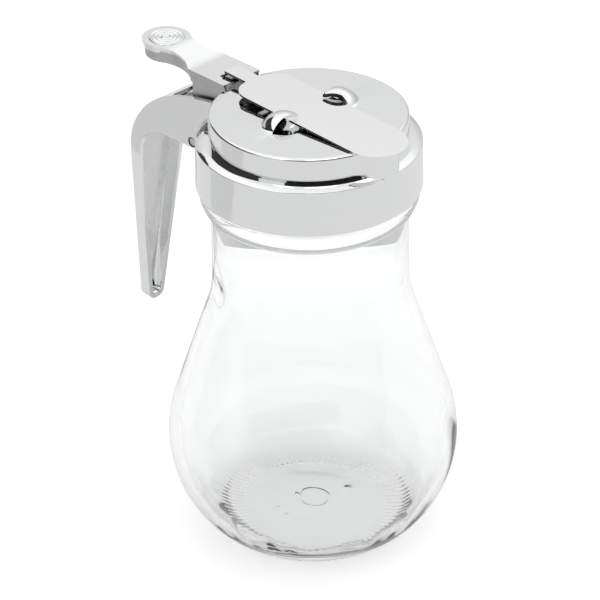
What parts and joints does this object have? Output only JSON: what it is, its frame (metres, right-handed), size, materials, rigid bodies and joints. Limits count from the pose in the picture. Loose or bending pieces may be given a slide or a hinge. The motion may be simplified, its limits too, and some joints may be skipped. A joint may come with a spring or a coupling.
{
  "type": "syrup dispenser",
  "caption": "Clear glass teardrop syrup dispenser with a plated screw-on head, a channel-shaped handle, a thumb lever and a sliding steel gate over the spout",
  "frame": {"origin": "centre of the jar's foot plane, on the jar's axis", "axes": "+X = towards the spout, +Y = away from the nearer side seen with the spout to the right, +Z = up along the jar's axis"},
  "size_m": [0.1262, 0.0932, 0.1508],
  "materials": {
    "clear_glass": "clear, fire-polished",
    "plated_plastic": "bright mirror plating",
    "polished_steel": "polished stainless sheet",
    "pin_steel": "plain drawn wire"
  },
  "bodies": {
    "dispenser": {"glass_jar": "clear_glass", "head": "plated_plastic", "pivot_pin": "pin_steel"},
    "lever": {"thumb_lever": "plated_plastic"},
    "gate": {"gate": "polished_steel"}
  },
  "joints": [
    {"name": "lever_pivot", "type": "hinge", "parent": "dispenser", "child": "lever", "pos_m": [-0.043, 0, 0.124], "axis": [0, -1, 0], "range_deg": [0, 28], "stiffness_Nm_per_rad": 0.03, "springref_deg": -34.38},
    {"name": "gate_slide", "type": "slide", "parent": "dispenser", "child": "gate", "axis": [-0.9992, 0, 0.04], "range_m": [0, 0.01215]}
  ],
  "couplings": [
    {"joint": "gate_slide", "follows": "lever_pivot", "m_per_rad": 0.0248}
  ]
}
